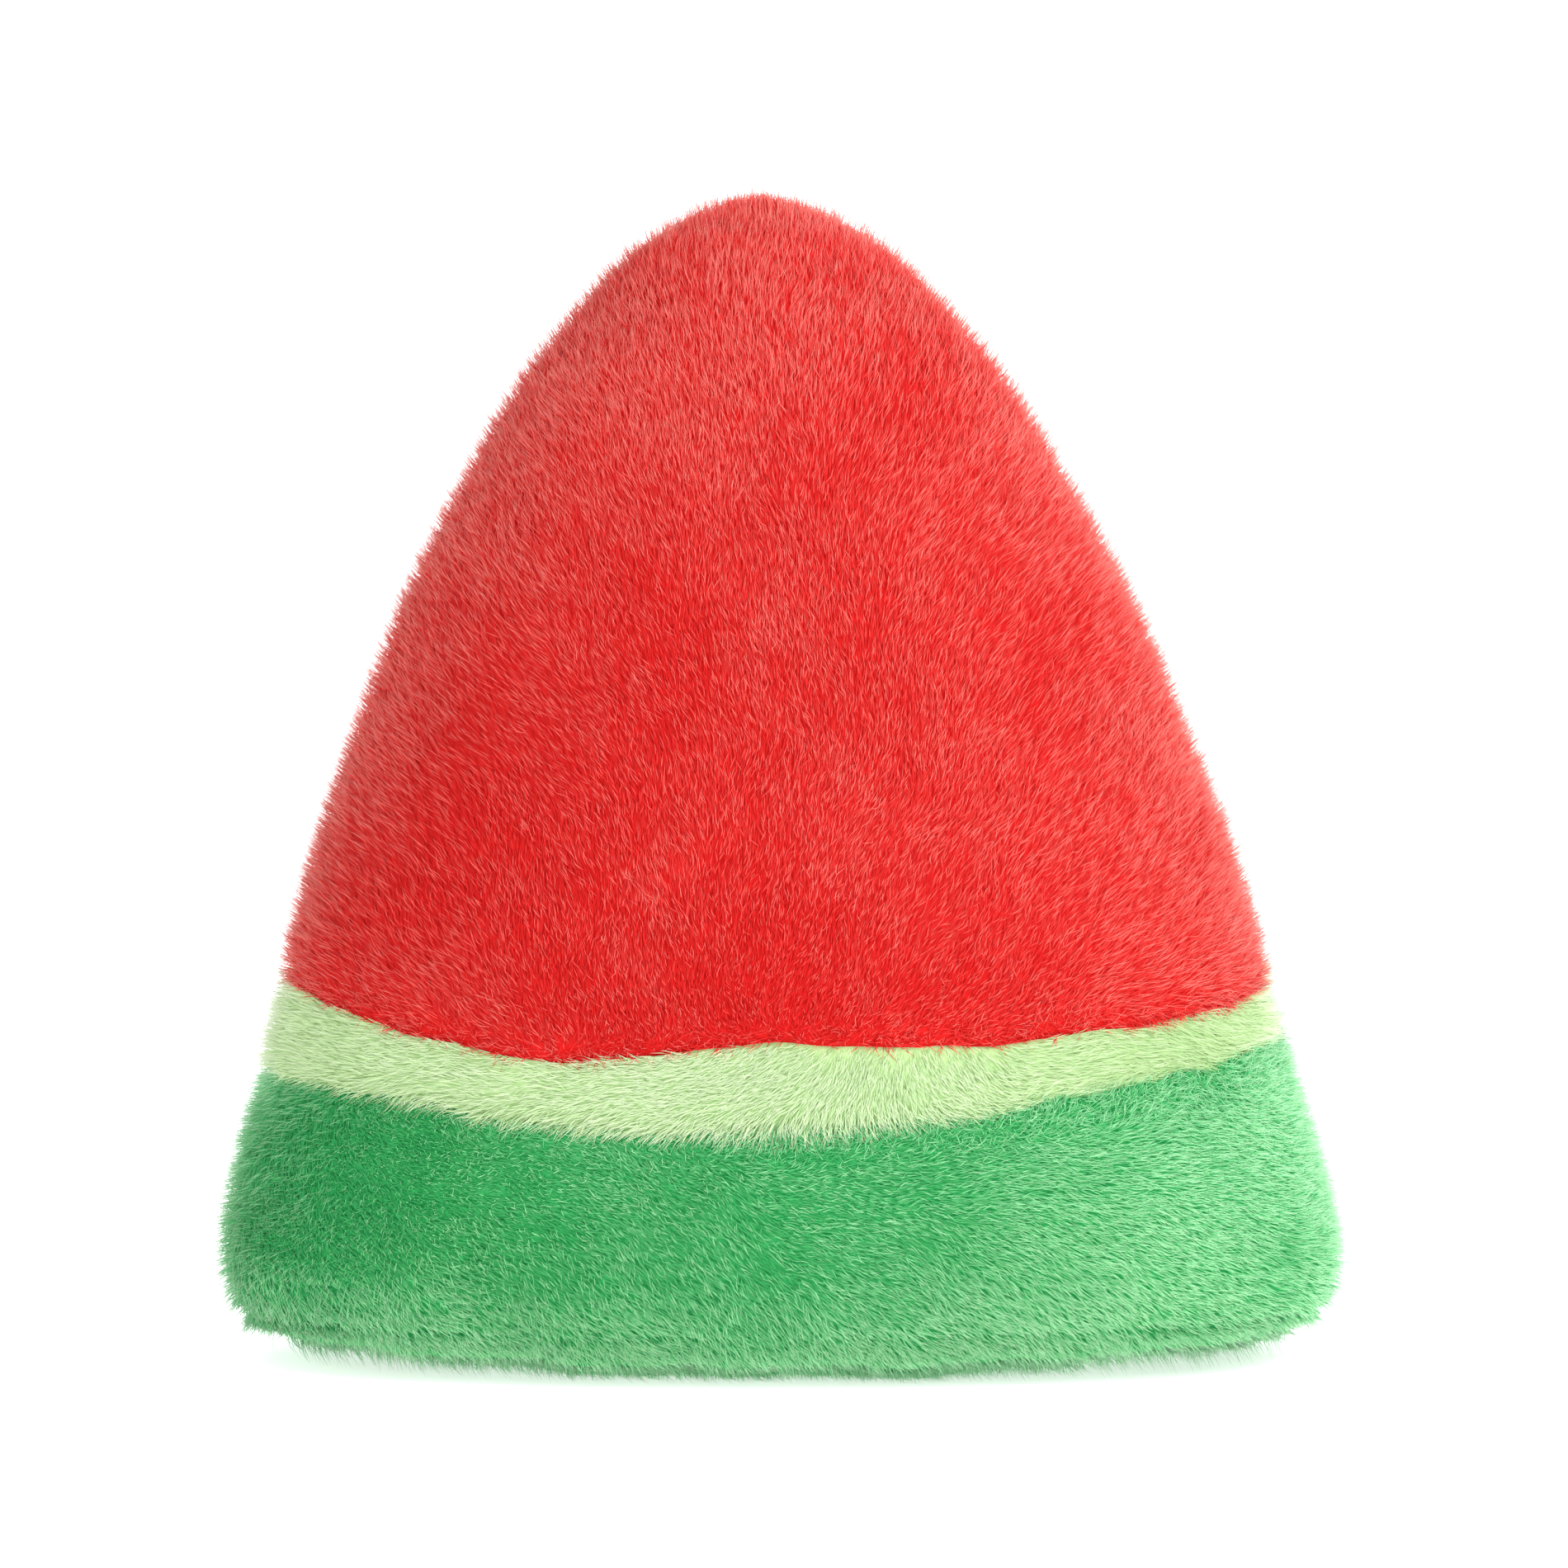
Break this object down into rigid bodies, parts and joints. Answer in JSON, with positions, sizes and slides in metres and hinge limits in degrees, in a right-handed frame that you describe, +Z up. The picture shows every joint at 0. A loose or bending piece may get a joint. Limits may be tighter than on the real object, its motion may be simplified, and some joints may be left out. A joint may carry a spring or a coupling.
{
  "type": "plush toy watermelon wedge",
  "caption": "Small stuffed toy shaped like a rounded wedge of watermelon, in short pile fabric: red body, pale rind band, green base, bean-weighted to stand upright.",
  "frame": {"origin": "centre of the box's underside, on the surface that the toy stands on", "axes": "+Z up through the tip, +X to the right seen from the shown side, shown side towards -Y"},
  "size_m": [0.1216, 0.066, 0.1278],
  "materials": {
    "flesh_plush": "short soft pile, watermelon red",
    "rind_plush": "short soft pile, pale yellow-green",
    "skin_plush": "short soft pile, leaf green",
    "polyester_fibre": "loose white fibre filling",
    "bag_cloth": "plain white woven cloth",
    "pellets": "small plastic pellets, one mass",
    "red_thread": "polyester sewing thread",
    "green_thread": "polyester sewing thread",
    "white_thread": "polyester sewing thread"
  },
  "bodies": {
    "root": {"front_flesh_panel": "flesh_plush", "front_rind_band": "rind_plush", "front_skin_panel": "skin_plush", "back_flesh_panel": "flesh_plush", "back_rind_band": "rind_plush", "back_skin_panel": "skin_plush", "base_panel": "skin_plush", "fibre_filling": "polyester_fibre", "pellet_bag_top": "bag_cloth", "pellet_bag_bottom": "bag_cloth", "bean_pellets": "pellets", "front_flesh_seam_thread": "red_thread", "front_skin_seam_thread": "green_thread", "back_flesh_seam_thread": "red_thread", "back_skin_seam_thread": "green_thread", "side_seam_thread": "red_thread", "base_seam_thread": "green_thread", "closing_stitch": "green_thread", "pellet_bag_thread": "white_thread"}
  },
  "joints": []
}
